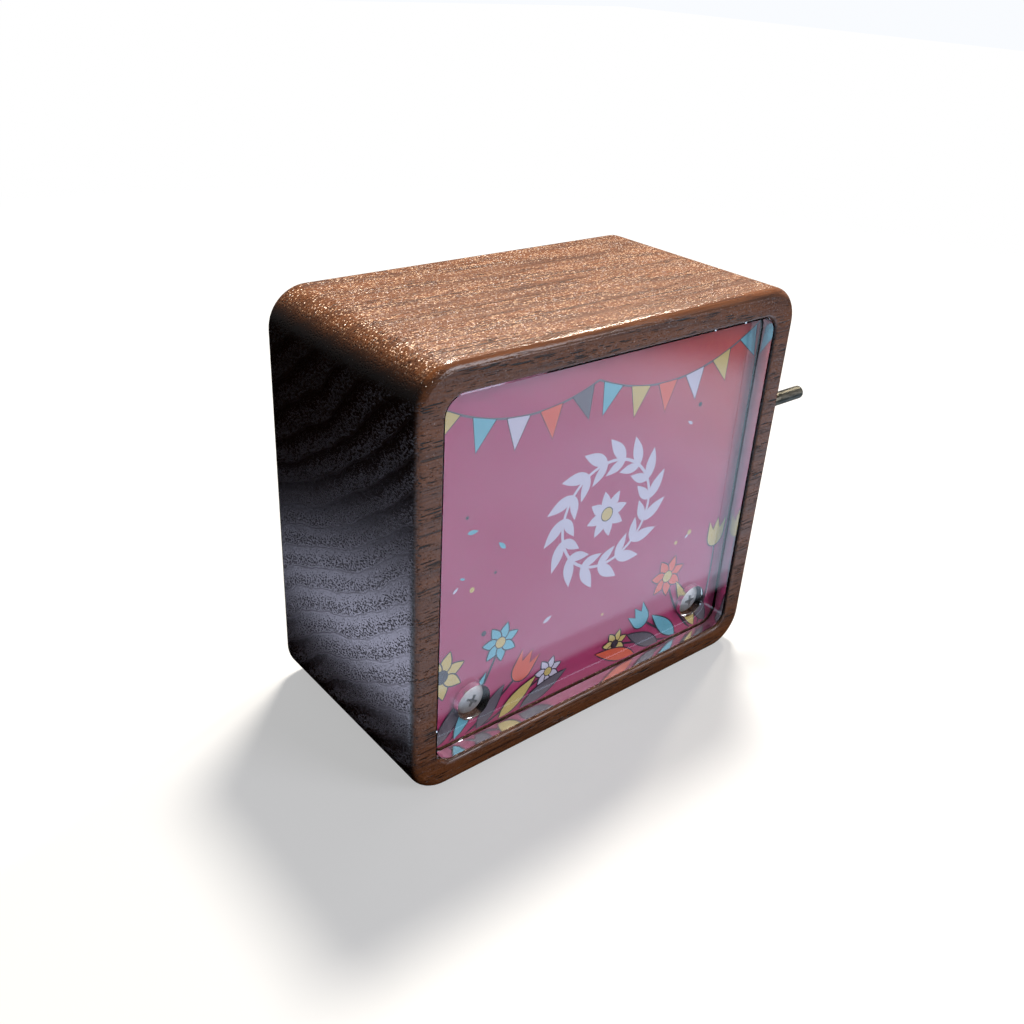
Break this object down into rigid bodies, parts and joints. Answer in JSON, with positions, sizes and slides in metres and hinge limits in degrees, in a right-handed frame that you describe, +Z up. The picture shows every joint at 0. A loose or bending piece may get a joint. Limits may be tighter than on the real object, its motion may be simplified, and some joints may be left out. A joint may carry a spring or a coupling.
{
  "type": "hand cranked music box",
  "caption": "Hand cranked music box: a rounded hardwood case with a thick clear front over a printed card, a pinned cylinder and comb inside, and a bent steel crank.",
  "frame": {"origin": "middle of the case's flat underside, which it stands on", "axes": "+X out of the side with the crank, along the crank's axis; -Y out of the clear front; +Z up"},
  "size_m": [0.1212, 0.0524, 0.093],
  "materials": {
    "walnut": "oiled open-grained walnut, satin",
    "acrylic": "clear cast acrylic, polished",
    "printed_card": "smooth printed card",
    "plywood": "bare birch plywood",
    "screw_steel": "nickel plated",
    "zinc": "plain zinc die casting",
    "spring_steel": "ground spring steel",
    "brass": "turned brass",
    "dark_steel": "blackened steel, worn bright in the hand"
  },
  "bodies": {
    "case": {"case_shell": "walnut", "clear_cover": "acrylic", "print_card": "printed_card", "front_board": "plywood", "panel_screw_left": "screw_steel", "panel_screw_right": "screw_steel", "back_board": "plywood", "back_screw_1": "screw_steel", "back_screw_2": "screw_steel", "back_screw_3": "screw_steel", "back_screw_4": "screw_steel", "movement_base": "zinc", "movement_screw_1": "screw_steel", "movement_screw_2": "screw_steel", "movement_screw_3": "screw_steel", "comb": "spring_steel", "comb_screw_1": "screw_steel", "comb_screw_2": "screw_steel", "worm_bridge": "spring_steel", "bridge_screw_1": "screw_steel", "bridge_screw_2": "screw_steel"},
    "crank": {"crank_rod": "dark_steel", "worm_spindle": "dark_steel", "worm": "dark_steel"},
    "cylinder": {"pin_cylinder": "brass", "cylinder_cap": "zinc", "cylinder_arbor": "spring_steel", "drive_wheel": "brass"}
  },
  "joints": [
    {"name": "crank_turn", "type": "hinge", "parent": "case", "child": "crank", "pos_m": [0.0502, 0, 0.0465], "axis": [1, 0, 0], "continuous": true},
    {"name": "cylinder_turn", "type": "hinge", "parent": "case", "child": "cylinder", "pos_m": [0.022, 0.00965, 0.0465], "axis": [0, 0, 1], "continuous": true}
  ],
  "couplings": [
    {"joint": "cylinder_turn", "follows": "crank_turn", "ratio": -0.055556}
  ]
}
